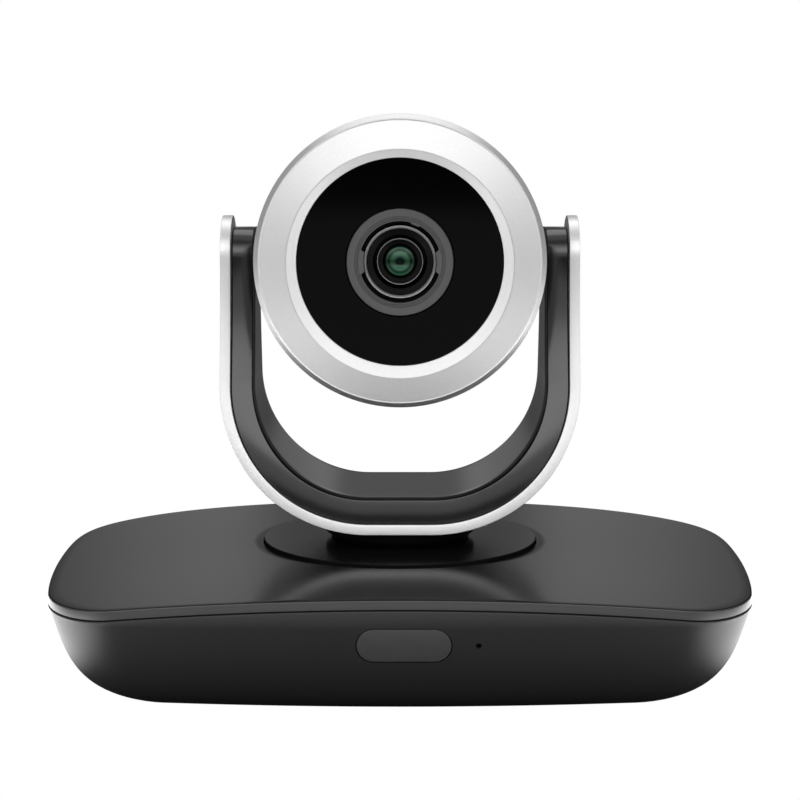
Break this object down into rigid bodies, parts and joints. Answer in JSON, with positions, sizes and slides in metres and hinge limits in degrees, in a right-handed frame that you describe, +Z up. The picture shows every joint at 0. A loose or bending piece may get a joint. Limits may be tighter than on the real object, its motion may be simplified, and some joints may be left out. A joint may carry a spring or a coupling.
{
  "type": "ptz camera",
  "caption": "Desk-top pan, tilt and zoom camera: low rounded base, turntable with a U-shaped yoke, and a round head with a recessed glossy lens panel.",
  "frame": {"origin": "bottom centre of the base's bounding box, on the surface the camera stands on", "axes": "+X to the right as seen from in front of the lens, -Y the way the lens looks, +Z up"},
  "size_m": [0.232, 0.152, 0.183],
  "materials": {
    "silver_paint": "satin fine-grain silver paint",
    "charcoal_paint": "satin charcoal paint",
    "dark_plastic": "fine textured dark grey",
    "yoke_grey": "satin dark grey paint",
    "black_gloss": "polished black",
    "black_matte": "matte black",
    "lens_grey": "dark anodised",
    "lens_glass": "coated, green reflection",
    "steel": "plain",
    "brass": "plain",
    "rubber": "matte",
    "circuit_board": "green solder mask",
    "white_plastic": "natural acetal"
  },
  "bodies": {
    "base": {"base_cover": "charcoal_paint", "base_tub": "dark_plastic", "ir_window": "black_gloss", "ir_receiver": "black_gloss", "rear_panel": "black_matte", "control_socket": "black_matte", "dc_jack": "black_matte", "chassis_plate": "steel", "bearing_housing": "steel", "pan_motor": "steel", "lan_socket": "steel", "usb_socket": "steel", "hdmi_socket": "steel", "chassis_screw_1": "steel", "chassis_screw_2": "steel", "chassis_screw_3": "steel", "chassis_screw_4": "steel", "cover_screw_1": "steel", "cover_screw_2": "steel", "cover_screw_3": "steel", "cover_screw_4": "steel", "tripod_insert": "brass", "lower_pan_bush": "brass", "upper_pan_bush": "brass", "foot_1": "rubber", "foot_2": "rubber", "foot_3": "rubber", "foot_4": "rubber", "main_board": "circuit_board", "front_board": "circuit_board", "status_lamp": "white_plastic"},
    "turntable": {"pan_gear": "white_plastic", "pan_shaft": "steel", "turntable_disc": "charcoal_paint", "neck": "black_matte", "yoke_band": "silver_paint", "yoke_frame": "yoke_grey", "yoke_inner_cover": "yoke_grey", "tilt_pin_left": "steel", "tilt_pin_right": "steel", "tilt_gear": "white_plastic"},
    "head": {"front_ring": "silver_paint", "front_bezel": "silver_paint", "front_panel": "black_gloss", "head_front_shell": "yoke_grey", "head_rear_shell": "yoke_grey", "lens_ring": "lens_grey", "lens_barrel": "black_matte", "lens_retaining_ring": "lens_grey", "front_lens": "lens_glass", "zoom_block": "black_matte", "sensor_board": "circuit_board", "head_chassis": "steel", "tilt_bush_left": "brass", "tilt_bush_right": "brass", "tilt_motor": "steel"},
    "pan_pinion": {"pan_pinion": "brass"},
    "tilt_pinion": {"tilt_pinion": "brass"},
    "zoom_group": {"zoom_lens_group": "lens_glass"},
    "focus_group": {"focus_lens_group": "lens_glass"}
  },
  "joints": [
    {"name": "pan", "type": "hinge", "parent": "base", "child": "turntable", "pos_m": [0, 0.01, 0.04], "axis": [0, 0, 1], "range_deg": [-170, 170]},
    {"name": "tilt", "type": "hinge", "parent": "turntable", "child": "head", "pos_m": [0, 0.01, 0.1358], "axis": [-1, 0, 0], "range_deg": [-30, 90]},
    {"name": "pan_pinion_spin", "type": "hinge", "parent": "base", "child": "pan_pinion", "pos_m": [0.03612, 0.01, 0.03], "axis": [0, 0, 1], "range_deg": [-850, 850]},
    {"name": "tilt_pinion_spin", "type": "hinge", "parent": "head", "child": "tilt_pinion", "pos_m": [-0.033, 0.02692, 0.1358], "axis": [-1, 0, 0], "range_deg": [-90, 270]},
    {"name": "zoom", "type": "slide", "parent": "head", "child": "zoom_group", "axis": [0, 1, 0], "range_m": [-0.004, 0.009]},
    {"name": "focus", "type": "slide", "parent": "head", "child": "focus_group", "axis": [0, 1, 0], "range_m": [-0.003, 0.004]}
  ],
  "couplings": [
    {"joint": "pan_pinion_spin", "follows": "pan", "ratio": -5},
    {"joint": "tilt_pinion_spin", "follows": "tilt", "ratio": 3}
  ]
}
